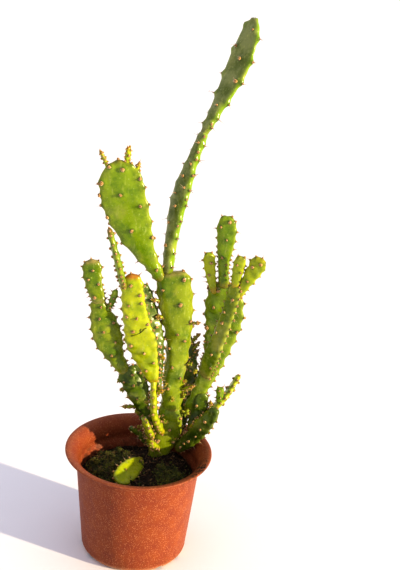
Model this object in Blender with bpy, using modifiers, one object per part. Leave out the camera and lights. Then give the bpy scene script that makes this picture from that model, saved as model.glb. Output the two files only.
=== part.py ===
"""Potted paddle cactus: a young branching cactus in a round plastic nursery pot.

The origin is the middle of the pot's base, +Z is up and -Y is the front.
Sizes are given in millimetres and turned to metres by MM.
"""

import math
from dataclasses import dataclass

import bmesh
import bpy
from mathutils import Vector

MM = 0.001

# Pot, turned round the Z axis
POT_HEIGHT = 100.0
POT_RIM_RADIUS = 65.0
POT_NECK_RADIUS = 55.0
POT_FOOT_RADIUS = 47.5
POT_WALL = 1.7
POT_FLARE = 10.0
POT_CORNER = 7.5
POT_FLOOR = 2.0
POT_SIDES = 48
NOTCHES = 12
NOTCH_WIDTH = 9.0
NOTCH_HEIGHT = 4.5
NOTCH_DEPTH = 14.0
NOTCH_SET_IN = 2.0
NOTCH_SIDES = 12
NOTCH_TURN = 3.0

# Filling of the pot
SOIL_EDGE = 71.0
SOIL_CROWN = 3.0
SOIL_FOOT = 6.5
SOIL_CHAMFER = 3.0
SOIL_SIDES = 32
SOIL_TOP_STEPS = 4

# Moss: name, middle, half sizes
MOSS_SIDES = 20
MOSS_RINGS = 10
MOSSES = (
    ("moss_left", (-22, 8, 73.5), (24, 30, 6)),
    ("moss_right", (30, -8, 73.5), (17, 20, 4)),
)

# Fits between touching pieces
GAP = 0.3

# Cross-section of a pad: 1 is an ellipse, smaller is squarer
SECTION_POWER = 0.8
# Share of a pad's thickness lost from its base to its tip
THINNING = 0.25

GREENS = {
    "bright": (0.50, 0.60, 0.03),
    "fresh": (0.28, 0.42, 0.02),
    "leaf": (0.17, 0.30, 0.03),
    "deep": (0.07, 0.16, 0.02),
    "dull": (0.13, 0.20, 0.06),
}


@dataclass(frozen=True)
class Pad:
    """One stem segment: a flattened body along a curved middle line.

    path runs from the buried base to the tip, widths are full widths at even
    steps along it, face is the bearing of the wide direction in degrees, and
    crown is the length over which the tip rounds off.
    """

    name: str
    path: tuple
    widths: tuple
    thick: float
    face: float
    crown: float
    green: str = "leaf"
    sides: int = 14
    rings: int = 12


TRUNK = (
    Pad("lower_trunk", ((20, 32, 64), (24, 32, 87), (26, 30, 110), (26, 30, 133)),
        (22, 24, 26, 23, 19), 19, 165, 9, "fresh"),
    Pad("upper_trunk", ((27, 30, 122), (27, 30, 157), (29, 30, 192), (25, 28, 226), (19, 28, 260)),
        (18, 19, 20, 24, 30, 29), 15, 165, 8, "fresh", 16, 14),
)

CROWN = (
    Pad("crown_left_pad", ((12, 27, 250), (-9, 24, 284), (-24, 19, 321), (-31, 15, 359)),
        (8, 15, 28, 37, 37, 32), 9, 176, 20, "leaf", 16, 14),
    Pad("tall_lower_pad", ((15, 29, 255), (17, 36, 286), (21, 43, 318), (29, 51, 348), (39, 59, 377)),
        (10, 11, 16, 18, 11, 9), 11, 131, 5, "dull", 14, 14),
    Pad("tall_upper_pad", ((37, 58, 372), (48, 65, 395), (59, 73, 419), (68, 81, 444), (75, 88, 469)),
        (7, 12, 21, 27, 24, 15), 9, 129, 12, "dull", 16, 14),
)

LEFT = (
    Pad("shaded_left_pad", ((13, 32, 102), (2, 33, 121), (-6, 33, 142), (-16, 34, 162)),
        (7, 12, 18, 19), 9, 11, 6, "deep"),
    Pad("shaded_side_pad", ((2, 35, 130), (-3, 36, 148), (-6, 36, 165)),
        (9, 13, 14), 8, 0, 8, "deep", 12, 10),
    Pad("left_lower_pad", ((-15, 34, 155), (-28, 35, 177), (-37, 36, 202), (-44, 38, 227)),
        (7, 14, 24, 21, 11), 11, 5, 5, "fresh"),
    Pad("left_upper_pad", ((-41, 37, 220), (-48, 38, 240), (-51, 40, 261)),
        (10, 12, 15, 17), 9, 5, 9, "fresh", 12, 10),
    Pad("left_side_pad", ((-35, 36, 215), (-31, 35, 226), (-28, 34, 237)),
        (3, 5, 5), 5, 170, 3, "leaf", 10, 8),
)

FRONT = (
    Pad("front_stem_pad", ((20, 26, 104), (12, 15, 126), (10, 10, 148), (9, 7, 169)),
        (11, 15, 16, 12), 7, 93, 5, "bright", 12, 10),
    Pad("front_bright_pad", ((10, 7, 163), (-1, -2, 198), (-10, -10, 234), (-15, -15, 272)),
        (6, 17, 25, 21, 18, 18), 10, 179, 9, "bright", 16, 14),
    Pad("front_back_pad", ((14, 12, 152), (11, 19, 182), (3, 24, 212), (-6, 27, 246)),
        (5, 8, 17, 18, 12), 8, 23, 8, "deep"),
    Pad("slender_top_pad", ((-20, -14, 259), (-27, -18, 286), (-34, -22, 312)),
        (8, 13, 13, 9), 6, 98, 6, "leaf", 12, 10),
)

RIGHT = (
    Pad("rear_stem_pad", ((33, 38, 96), (37, 46, 130), (37, 48, 160), (34, 49, 191)),
        (10, 14, 13, 11), 9, 160, 8, "deep"),
    Pad("right_broad_pad", ((42, 40, 116), (58, 38, 160), (67, 36, 205), (66, 32, 251)),
        (11, 12, 18, 26, 34, 26), 10, 160, 11, "leaf", 16, 14),
    Pad("right_top_pad", ((65, 32, 245), (63, 31, 268), (63, 29, 290), (62, 28, 313)),
        (9, 8, 9, 13, 16, 15), 9, 168, 9, "leaf"),
    Pad("right_narrow_pad", ((54, 35, 157), (61, 25, 190), (69, 20, 223), (74, 16, 255)),
        (11, 14, 12, 11, 11), 8, 143, 6, "fresh"),
    Pad("right_tip_pad_inner", ((57, 31, 240), (52, 29, 260), (49, 28, 279)),
        (4, 7, 9, 9), 7, 177, 6, "bright", 12, 10),
    Pad("right_tip_pad_middle", ((73, 17, 250), (74, 15, 267), (76, 13, 283)),
        (4, 7, 9, 9), 6, 167, 5, "bright", 12, 10),
    Pad("right_tip_pad_outer", ((76, 18, 242), (84, 14, 263), (93, 10, 283)),
        (4, 8, 12, 15), 7, 160, 8, "bright", 12, 10),
)

LOW = (
    Pad("low_dark_pad", ((34, 27, 86), (47, 18, 103), (56, 8, 122), (66, 2, 142)),
        (8, 12, 13, 9), 8, 149, 6, "deep"),
    Pad("low_back_pad", ((48, 31, 100), (52, 35, 122), (54, 36, 141)),
        (9, 13, 14, 12), 8, 174, 7, "deep", 12, 10),
    Pad("low_bright_pad", ((45, 26, 108), (61, 32, 122), (76, 40, 137), (87, 49, 153)),
        (11, 12, 13, 9), 6, 82, 5, "bright", 12, 10),
    Pad("low_side_pad", ((70, 33, 131), (70, 34, 140), (70, 34, 148)),
        (4, 6, 7), 5, 175, 4, "leaf", 10, 8),
    Pad("ground_pad", ((5, 22, 73), (-2, 8, 78), (-9, -8, 80), (-17, -24, 79)),
        (8, 12, 14, 12), 8, 152, 7, "bright", 14, 10),
    Pad("knobbly_lower_pad", ((18, 28, 85), (11, 19, 95), (8, 14, 106)),
        (8, 10, 9), 7, 110, 4, "bright", 12, 8),
    Pad("knobbly_upper_pad", ((11, 17, 101), (7, 13, 113), (3, 11, 125)),
        (8, 12, 9), 7, 109, 4, "bright", 12, 8),
    Pad("upper_finger", ((9, 25, 99), (-1, 20, 104), (-9, 16, 112)),
        (5, 6, 5), 5, 160, 2.5, "deep", 10, 8),
    Pad("lower_finger", ((10, 26, 89), (4, 22, 96), (-1, 19, 103)),
        (5, 5, 4), 5, 160, 2.5, "deep", 10, 8),
)

# Young buds: name, base, tip, width
BUDS = (
    ("crown_bud_left", (-38, 18, 349), (-46, 15, 366), 4.5),
    ("crown_bud_middle", (-24, 16, 352), (-23, 15, 371), 5.5),
    ("crown_bud_right", (-16, 17, 347), (-14, 16, 358), 4.0),
    ("trunk_bud_left", (12, 27, 232), (3, 22, 235), 4.0),
    ("trunk_bud_lower", (16, 28, 217), (8, 22, 219), 4.5),
    ("trunk_bud_right", (37, 25, 213), (46, 22, 216), 3.5),
    ("rear_bud_upper", (38, 49, 181), (48, 44, 195), 4.5),
    ("rear_bud_lower", (41, 48, 173), (48, 44, 187), 4.5),
    ("dried_bud", (42, 46, 164), (47, 42, 180), 5.0),
    ("toothed_bud", (33, 30, 144), (45, 21, 154), 6.0),
    ("shaded_bud", (-3, 33, 124), (-17, 28, 126), 4.0),
    ("stem_bud_lower", (12, 11, 151), (18, 6, 156), 6.0),
    ("stem_bud_upper", (9, 18, 186), (17, 8, 186), 4.5),
    ("low_bud", (63, 33, 124), (62, 31, 135), 3.5),
)


def clear_scene():
    """Removes whatever the scene holds."""
    for old in list(bpy.data.objects):
        bpy.data.objects.remove(old, do_unlink=True)


def make_collection(name):
    """Makes a collection in the scene."""
    made = bpy.data.collections.new(name)
    bpy.context.scene.collection.children.link(made)
    return made


def make_material(name, colour, roughness, metallic=0.0):
    """Makes a Principled material of one finish."""
    material = bpy.data.materials.new(name)
    material.use_nodes = True
    shader = material.node_tree.nodes["Principled BSDF"]
    shader.inputs["Base Color"].default_value = (*colour, 1.0)
    shader.inputs["Roughness"].default_value = roughness
    shader.inputs["Metallic"].default_value = metallic
    material.diffuse_color = (*colour, 1.0)
    return material


def add_object(name, bm, collection, material=None):
    """Turns a bmesh into an object of a collection, shaded smooth."""
    mesh = bpy.data.meshes.new(name)
    bm.to_mesh(mesh)
    bm.free()
    mesh.shade_smooth()
    made = bpy.data.objects.new(name, mesh)
    collection.objects.link(made)
    if material:
        mesh.materials.append(material)
    return made


def curve_point(values, at):
    """Reads a smooth curve through evenly spaced values at 0 to 1."""
    last = len(values) - 1
    place = min(max(at, 0.0), 1.0) * last
    start = min(int(place), last - 1)
    t = place - start
    before = values[start - 1] if start > 0 else values[0] * 2 - values[1]
    after = values[start + 2] if start + 2 <= last else values[last] * 2 - values[last - 1]
    a, b = values[start], values[start + 1]
    bend = (b - before) * t + (before * 2 - a * 5 + b * 4 - after) * t * t
    return a + (bend + (a * 3 - before - b * 3 + after) * t ** 3) * 0.5


def rounding(at, length, base_cap, crown):
    """Gives how far the outline is drawn in near a pad's two ends, 0 to 1."""
    from_base = at * length
    from_tip = (1.0 - at) * length
    drawn = 1.0
    if from_base < base_cap:
        drawn *= math.sqrt(max(0.0, 1.0 - (1.0 - from_base / base_cap) ** 2))
    if from_tip < crown:
        drawn *= math.sqrt(max(0.0, 1.0 - (1.0 - from_tip / crown) ** 2))
    return drawn


def rounded_unit(value):
    """Squares off one coordinate of a unit circle."""
    return math.copysign(abs(value) ** SECTION_POWER, value)


def pad_bmesh(pad):
    """Shapes a sphere into a pad, in metres."""
    path = [Vector(point) for point in pad.path]
    widths = [float(width) for width in pad.widths]
    length = sum((b - a).length for a, b in zip(path, path[1:]))
    level = Vector((math.cos(math.radians(pad.face)), math.sin(math.radians(pad.face)), 0.0))
    bm = bmesh.new()
    bmesh.ops.create_uvsphere(bm, u_segments=pad.sides, v_segments=pad.rings, radius=1.0)
    step = 0.01
    for vert in bm.verts:
        x, y, z = vert.co
        at = (z + 1.0) / 2.0
        centre = curve_point(path, at)
        along = (curve_point(path, at + step) - curve_point(path, at - step)).normalized()
        across = (level - along * level.dot(along)).normalized()
        normal = along.cross(across)
        drawn = rounding(at, length, widths[0] / 2.0, pad.crown)
        half_width = curve_point(widths, at) / 2.0 * drawn
        half_thick = min(pad.thick / 2.0 * (1.0 - THINNING * at) * math.sqrt(drawn), half_width)
        ring = math.hypot(x, y)
        if ring > 1e-6:
            centre = centre + across * (rounded_unit(x / ring) * half_width)
            centre = centre + normal * (rounded_unit(y / ring) * half_thick)
        vert.co = centre * MM
    return bm


def bud_pad(name, base, tip, width):
    """Describes a bud as a small, almost round pad with a pointed foot."""
    a, b = Vector(base), Vector(tip)
    bearing = math.degrees(math.atan2(b.y - a.y, b.x - a.x)) + 90.0
    return Pad(name, (tuple(a), tuple(a.lerp(b, 0.5)), tuple(b)),
               (width * 0.6, width, width * 0.8), width * 0.8, bearing, width * 0.5,
               "bright", 8, 6)


def grown_copy(source, collection):
    """Copies an object as a cutter that stands out from it by the gap all over."""
    bm = bmesh.new()
    bm.from_mesh(source.data)
    bm.normal_update()
    for vert in bm.verts:
        vert.co += vert.normal * (GAP * MM)
    cutter = add_object(source.name + "_cutter", bm, collection)
    cutter.hide_render = True
    cutter.display_type = "WIRE"
    return cutter


def boxes_meet(first, second):
    """Says whether two objects' boxes overlap."""
    def limits(item):
        points = [vert.co for vert in item.data.vertices]
        low = [min(point[i] for point in points) for i in range(3)]
        high = [max(point[i] for point in points) for i in range(3)]
        return low, high
    (low_a, high_a), (low_b, high_b) = limits(first), limits(second)
    return all(low_a[i] < high_b[i] and low_b[i] < high_a[i] for i in range(3))


def cut(piece, cutter):
    """Cuts a piece clear of a cutter."""
    modifier = piece.modifiers.new("clear_" + cutter.name, "BOOLEAN")
    modifier.operation = "DIFFERENCE"
    modifier.solver = "EXACT"
    modifier.object = cutter


def arc(centre_r, centre_z, radius, start, end, steps):
    """Lists points of an arc in a turned profile, angles in degrees."""
    turns = [math.radians(start + (end - start) * i / steps) for i in range(steps + 1)]
    return [(centre_r + radius * math.cos(t), centre_z + radius * math.sin(t)) for t in turns]


def turned(name, profile, sides, collection, material=None):
    """Turns a profile of (radius, height) round the Z axis."""
    bm = bmesh.new()
    corners = [bm.verts.new((r * MM, 0.0, z * MM)) for r, z in profile]
    for a, b in zip(corners, corners[1:]):
        bm.edges.new((a, b))
    made = add_object(name, bm, collection, material)
    screw = made.modifiers.new("turn", "SCREW")
    screw.steps = sides
    screw.render_steps = sides
    screw.use_merge_vertices = True
    screw.merge_threshold = 0.00001
    screw.use_smooth_shade = True
    return made


def pot_wall(height, inset):
    """Gives the pot's radius at a height below the flare, less an inset."""
    rise = (height - POT_CORNER) / (POT_HEIGHT - POT_FLARE - POT_CORNER)
    return POT_FOOT_RADIUS + (POT_NECK_RADIUS - POT_FOOT_RADIUS) * rise - inset


def pot_profile():
    """Draws the pot's section: floor, inner wall, flared lip, outer wall, base."""
    lip = POT_WALL / 2.0
    flare_z = POT_HEIGHT - lip - POT_FLARE
    middle = POT_RIM_RADIUS - lip
    inner = POT_CORNER - POT_FLOOR
    corner_r = pot_wall(POT_CORNER, POT_CORNER)
    points = [(0.0, POT_FLOOR)]
    points += arc(corner_r, POT_CORNER, inner, -90, 0, 3)
    points += arc(middle, flare_z, POT_FLARE + lip, 180, 90, 5)
    points += arc(middle, POT_HEIGHT - lip, lip, 45, -45, 2)
    points += arc(middle, flare_z, POT_FLARE - lip, 90, 180, 5)
    points += arc(corner_r, POT_CORNER, POT_CORNER, 0, -90, 4)
    points += [(0.0, 0.0)]
    return points


def notch_cutter(index, collection):
    """Makes the cutter of one drainage notch, a rod that crosses the base's corner."""
    turn = math.radians(-90.0 + NOTCH_TURN + 360.0 * index / NOTCHES)
    bm = bmesh.new()
    bmesh.ops.create_cone(bm, cap_ends=True, segments=NOTCH_SIDES, depth=NOTCH_DEPTH * MM,
                          radius1=NOTCH_WIDTH / 2 * MM, radius2=NOTCH_WIDTH / 2 * MM)
    for vert in bm.verts:
        x, y, z = vert.co
        out = (POT_FOOT_RADIUS - NOTCH_SET_IN) * MM + z
        lift = y * NOTCH_HEIGHT / (NOTCH_WIDTH / 2)
        vert.co = (out * math.cos(turn) - x * math.sin(turn),
                   out * math.sin(turn) + x * math.cos(turn), lift)
    cutter = add_object(f"notch_cutter_{index + 1}", bm, collection)
    cutter.hide_render = True
    cutter.display_type = "WIRE"
    return cutter


def build_pot(parts, cutters):
    """Builds the pot with its ring of drainage notches."""
    plastic = make_material("terracotta_plastic", (0.55, 0.17, 0.07), 0.45)
    pot = turned("pot", pot_profile(), POT_SIDES, parts, plastic)
    for index in range(NOTCHES):
        cut(pot, notch_cutter(index, cutters))
    return pot


def soil_top(lift):
    """Lists the points of the soil's low dome, raised by a lift, without its edge."""
    points = []
    for i in range(SOIL_TOP_STEPS):
        share = i / SOIL_TOP_STEPS
        height = SOIL_EDGE + SOIL_CROWN * math.cos(share * math.pi / 2.0)
        points.append((POT_NECK_RADIUS * share, height + lift))
    return points


def build_soil(parts):
    """Builds the soil as one turned body that fills the pot to below the lip."""
    earth = make_material("potting_soil", (0.035, 0.022, 0.015), 0.95)
    clear = POT_WALL + GAP + 0.1
    profile = soil_top(0.0)
    shoulder = SOIL_FOOT + SOIL_CHAMFER
    profile.append((pot_wall(SOIL_EDGE, clear), SOIL_EDGE))
    profile.append((pot_wall(shoulder, clear), shoulder))
    profile.append((pot_wall(SOIL_FOOT, clear) - SOIL_CHAMFER, SOIL_FOOT))
    profile.append((0.0, SOIL_FOOT))
    return turned("soil", profile, SOIL_SIDES, parts, earth)


def soil_cutter(cutters):
    """Makes the cutter that keeps the moss clear of the soil under it."""
    profile = soil_top(GAP)
    profile.append((POT_NECK_RADIUS, SOIL_EDGE + GAP))
    profile.append((POT_NECK_RADIUS, SOIL_FOOT))
    profile.append((0.0, SOIL_FOOT))
    cutter = turned("soil_cutter", profile, SOIL_SIDES, cutters)
    cutter.hide_render = True
    cutter.display_type = "WIRE"
    return cutter


def moss_mound(name, centre, size, parts, green):
    """Builds a low cushion of moss, still whole where it sinks into the soil."""
    bm = bmesh.new()
    bmesh.ops.create_uvsphere(bm, u_segments=MOSS_SIDES, v_segments=MOSS_RINGS, radius=1.0)
    for vert in bm.verts:
        offset = Vector(side * half for side, half in zip(vert.co, size))
        vert.co = (Vector(centre) + offset) * MM
    return add_object(name, bm, parts, green)


def build_moss(parts, cutters):
    """Builds the cushions of moss that lie on the soil."""
    green = make_material("moss", (0.06, 0.075, 0.012), 0.95)
    under = soil_cutter(cutters)
    mounds = [moss_mound(*moss, parts, green) for moss in MOSSES]
    for mound in mounds:
        cut(mound, under)
    return mounds


def clear_ground(soil, mosses, plant):
    """Cuts the soil and the moss clear of the pads that stand in them."""
    ground = (SOIL_EDGE + SOIL_CROWN + GAP) * MM
    for _, cutter in plant:
        if min(vert.co.z for vert in cutter.data.vertices) < ground:
            cut(soil, cutter)
        for moss in mosses:
            if boxes_meet(moss, cutter):
                cut(moss, cutter)


def build_plant(parts, cutters):
    """Builds every pad and bud, each cut clear of the ones it grows from or leans on."""
    skins = {key: make_material("skin_" + key, colour, 0.35) for key, colour in GREENS.items()}
    pads = [*TRUNK, *CROWN, *LEFT, *FRONT, *RIGHT, *LOW]
    pads += [bud_pad(*bud) for bud in BUDS]
    done = []
    for pad in pads:
        piece = add_object(pad.name, pad_bmesh(pad), parts, skins[pad.green])
        for earlier, cutter in done:
            if boxes_meet(piece, cutter):
                cut(piece, cutter)
        done.append((piece, grown_copy(piece, cutters)))
    return done


def main():
    """Builds the whole potted plant."""
    clear_scene()
    parts = make_collection("potted_paddle_cactus")
    cutters = make_collection("cutters")
    build_pot(parts, cutters)
    soil = build_soil(parts)
    mosses = build_moss(parts, cutters)
    plant = build_plant(parts, cutters)
    clear_ground(soil, mosses, plant)


main()
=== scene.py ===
"""Potted paddle cactus: its looks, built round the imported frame.

Shapes are worked out in millimetres and turned to metres by MM as they become meshes.
The plant stands in a round plastic nursery pot, +Z is up and -Y is the front.
"""

import logging
import math
import random
from dataclasses import dataclass, field
from enum import Enum
from typing import Iterable, Optional

import bmesh
import bpy
import numpy as np
from mathutils import Matrix, Vector, kdtree, noise
from mathutils.bvhtree import BVHTree


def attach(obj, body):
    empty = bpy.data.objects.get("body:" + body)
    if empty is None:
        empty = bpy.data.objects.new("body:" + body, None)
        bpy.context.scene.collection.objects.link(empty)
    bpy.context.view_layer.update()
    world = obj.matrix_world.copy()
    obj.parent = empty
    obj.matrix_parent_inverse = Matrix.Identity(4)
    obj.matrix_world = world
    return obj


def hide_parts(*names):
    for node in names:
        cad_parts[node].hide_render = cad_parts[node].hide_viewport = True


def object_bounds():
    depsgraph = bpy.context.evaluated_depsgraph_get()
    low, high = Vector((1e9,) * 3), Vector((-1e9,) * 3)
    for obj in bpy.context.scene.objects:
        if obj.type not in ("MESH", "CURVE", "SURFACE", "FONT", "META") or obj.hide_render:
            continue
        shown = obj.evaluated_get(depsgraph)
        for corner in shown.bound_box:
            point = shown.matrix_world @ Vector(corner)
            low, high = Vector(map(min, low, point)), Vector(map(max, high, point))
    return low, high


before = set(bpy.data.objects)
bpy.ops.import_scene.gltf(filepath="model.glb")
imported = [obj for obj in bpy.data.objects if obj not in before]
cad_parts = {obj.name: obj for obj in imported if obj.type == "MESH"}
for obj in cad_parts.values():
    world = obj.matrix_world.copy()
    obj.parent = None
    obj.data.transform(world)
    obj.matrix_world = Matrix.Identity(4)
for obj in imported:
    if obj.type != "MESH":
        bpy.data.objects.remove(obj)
CAD_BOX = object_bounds()

MM = 0.001
BODY = "root"
# A full turn for random bearings, and the step from one item of a spiral to the next, in radians
TURN = 6.28
GOLDEN_TURN = 2.4
UP = Vector((0.0, 0.0, 1.0))
log = logging.getLogger("potted_cactus")


# ---------------------------------------------------------------- small helpers


def linear(hex_colour: str) -> tuple[float, float, float, float]:
    """Turns an sRGB hex colour to linear red, green, blue and alpha."""
    parts = [int(hex_colour[i:i + 2], 16) / 255.0 for i in (1, 3, 5)]
    turned = [c / 12.92 if c <= 0.04045 else ((c + 0.055) / 1.055) ** 2.4 for c in parts]
    return (turned[0], turned[1], turned[2], 1.0)


def grey(value: float) -> tuple[float, float, float, float]:
    """Gives a grey as a linear colour."""
    return (value, value, value, 1.0)


def plug(tree: bpy.types.NodeTree, node: bpy.types.Node, inputs: dict) -> None:
    """Fills a node's inputs: an output is linked, and any other value is set."""
    for key, value in inputs.items():
        if isinstance(value, bpy.types.NodeSocket):
            tree.links.new(value, node.inputs[key])
        else:
            node.inputs[key].default_value = value


def add_node(tree: bpy.types.NodeTree, kind: str, settings: Optional[dict] = None,
             inputs: Optional[dict] = None, stops: Iterable[tuple] = ()) -> bpy.types.Node:
    """Adds a node with its settings, its inputs and its links.

    Args:
        tree: the material's node tree.
        kind: the node's type name, less the ShaderNode that it begins with.
        settings: the node's own properties.
        inputs: input name or number to a value, or to an output to link from.
        stops: places and colours of a colour ramp.

    Returns:
        The new node.
    """
    node = tree.nodes.new("ShaderNode" + kind)
    for key, value in (settings or {}).items():
        setattr(node, key, value)
    plug(tree, node, inputs or {})
    for index, (place, colour) in enumerate(stops):
        ramp = node.color_ramp.elements
        stop = ramp[index] if index < 2 else ramp.new(place)
        stop.position = place
        stop.color = colour
    return node


def smooth(low: float, high: float, value: float) -> float:
    """Rises smoothly from 0 at low to 1 at high."""
    t = min(max((value - low) / (high - low), 0.0), 1.0)
    return t * t * (3.0 - 2.0 * t)


def make_object(name: str, mesh: bpy.types.Mesh, finish: "Finish") -> bpy.types.Object:
    """Makes a piece of a mesh, shaded smooth, dressed in a finish and riding on the body."""
    mesh.shade_smooth()
    mesh.materials.append(finish.material())
    piece = bpy.data.objects.new(name, mesh)
    bpy.context.scene.collection.objects.link(piece)
    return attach(piece, BODY)


def mesh_of(name: str, bm: bmesh.types.BMesh) -> bpy.types.Mesh:
    """Turns a bmesh in millimetres into a mesh in metres, and frees it."""
    bmesh.ops.scale(bm, vec=(MM, MM, MM), verts=bm.verts)
    mesh = bpy.data.meshes.new(name)
    bm.to_mesh(mesh)
    bm.free()
    if name != "floor":
        points = np.empty(len(mesh.vertices) * 3)
        mesh.vertices.foreach_get("co", points)
        mesh.vertices.foreach_set("co", held(points.reshape(-1, 3)).ravel())
    return mesh


def held(points: np.ndarray) -> np.ndarray:
    """Keeps points, in metres, inside the box that the frame fills."""
    return np.clip(points, np.array(CAD_BOX[0]), np.array(CAD_BOX[1]))


def scatter(name: str, shapes: list[bmesh.types.BMesh], places: list[Matrix]) -> bpy.types.Mesh:
    """Copies small shapes, in turn, to many places as one mesh.

    Args:
        name: the mesh's name.
        shapes: the shapes to copy, in their own units.
        places: one matrix a copy, to millimetres.

    Returns:
        The mesh, in metres.
    """
    points = [np.array([v.co for v in shape.verts]) for shape in shapes]
    sides = [[[v.index for v in face.verts] for face in shape.faces] for shape in shapes]
    verts, faces, offset = [], [], 0
    for index, place in enumerate(places):
        which = index % len(shapes)
        matrix = np.array(place)
        verts.append(points[which] @ matrix[:3, :3].T + matrix[:3, 3])
        faces.extend([[corner + offset for corner in face] for face in sides[which]])
        offset += len(points[which])
    mesh = bpy.data.meshes.new(name)
    mesh.from_pydata(held(np.concatenate(verts) * MM).tolist(), [], faces)
    return mesh


def strew(name: str, shapes: list[bmesh.types.BMesh], places: list[Matrix],
          finish: "Finish") -> bpy.types.Object:
    """Makes one piece of small shapes copied to many places."""
    return make_object(name, scatter(name, shapes, places), finish)


def gust(rng: random.Random, wide: float = 1.0) -> Vector:
    """Picks a random vector, spread alike along each axis."""
    return Vector([rng.gauss(0, wide) for _ in range(3)])


def inside(point: Vector) -> bool:
    """Says whether a point, in millimetres, lies in the box that the frame fills."""
    return all(low <= value * MM <= high for low, value, high in zip(CAD_BOX[0], point, CAD_BOX[1]))


def aimed(at: Vector, along: Vector, size: tuple[float, float, float], spin: float) -> Matrix:
    """Makes the matrix that puts a shape's +Z along a direction at a point.

    Args:
        at: where the shape's origin goes.
        along: the direction of its +Z.
        size: its scale across, across and along.
        spin: its turn about that direction, in radians.

    Returns:
        The matrix.
    """
    turn = along.to_track_quat("Z", "Y").to_matrix().to_4x4()
    scale = Matrix.Diagonal((*size, 1.0))
    return Matrix.Translation(at) @ turn @ Matrix.Rotation(spin, 4, "Z") @ scale


def cone(sides: int, base: float = 1.0, tip: float = 0.0) -> bmesh.types.BMesh:
    """Makes a cone one unit long that stands on the origin."""
    bm = bmesh.new()
    bmesh.ops.create_cone(bm, cap_ends=True, segments=sides, radius1=base, radius2=tip, depth=1.0)
    bmesh.ops.translate(bm, vec=(0.0, 0.0, 0.5), verts=bm.verts)
    bm.verts.index_update()
    return bm


def ball(sides: int, rings: int, rough: float, seed: int) -> bmesh.types.BMesh:
    """Makes a ball of radius 1 with a lumpy surface."""
    bm = bmesh.new()
    bmesh.ops.create_uvsphere(bm, u_segments=sides, v_segments=rings, radius=1.0)
    for vert in bm.verts:
        vert.co *= 1.0 + rough * noise.noise(vert.co * 1.7 + Vector((seed * 3.1, 0.0, 0.0)))
    bm.verts.index_update()
    return bm


def clod(rough: float, seed: int) -> bmesh.types.BMesh:
    """Makes an angular lump of radius 1 with twenty faces."""
    bm = bmesh.new()
    bmesh.ops.create_icosphere(bm, subdivisions=1, radius=1.0)
    for vert in bm.verts:
        vert.co *= 1.0 + rough * noise.noise(vert.co * 2.3 + Vector((0.0, seed * 5.7, 0.0)))
    bm.verts.index_update()
    return bm


# ---------------------------------------------------------------- finishes


class Finish:
    """A surface finish that makes its material once."""

    name: str

    def material(self) -> bpy.types.Material:
        """Gives the finish's material, made at first use."""
        found = bpy.data.materials.get(self.name)
        if found:
            return found
        made = bpy.data.materials.new(self.name)
        made.use_nodes = True
        tree = made.node_tree
        plug(tree, tree.nodes["Principled BSDF"], self.paint(tree))
        return made

    def paint(self, tree: bpy.types.NodeTree) -> dict:
        """Adds the finish's nodes and gives what fills the shader's inputs."""
        raise NotImplementedError


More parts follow.
